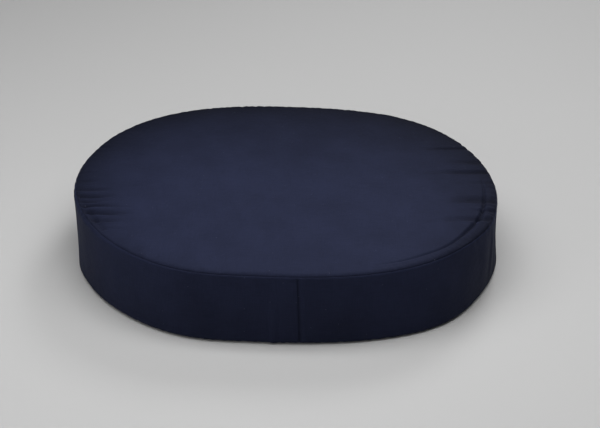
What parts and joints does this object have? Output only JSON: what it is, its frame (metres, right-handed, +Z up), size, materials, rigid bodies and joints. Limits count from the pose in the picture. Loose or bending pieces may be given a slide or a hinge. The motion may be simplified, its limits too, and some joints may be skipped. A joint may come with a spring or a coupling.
{
  "type": "oval donut cushion",
  "caption": "Filled oval boxed seat cushion with a closed, softly crowned top, an upright side band and a flat underside that rests on a seat.",
  "frame": {"origin": "middle of the cushion's bounding box, on the surface it lies on", "axes": "+X along the oval's long axis to the right, +Y to the back, +Z up out of the top; the band's join seam faces the front, -Y"},
  "size_m": [0.4132, 0.3284, 0.0835],
  "materials": {
    "cover_cloth_top": "matt plain-woven dark navy cotton blend with a faint sheen",
    "cover_cloth_band": "the same cloth, cut as one strip and joined by an upright seam at the front",
    "cover_cloth_bottom": "the same cloth, flat"
  },
  "bodies": {
    "root": {"top_panel": "cover_cloth_top", "side_band": "cover_cloth_band", "bottom_panel": "cover_cloth_bottom"}
  },
  "joints": []
}
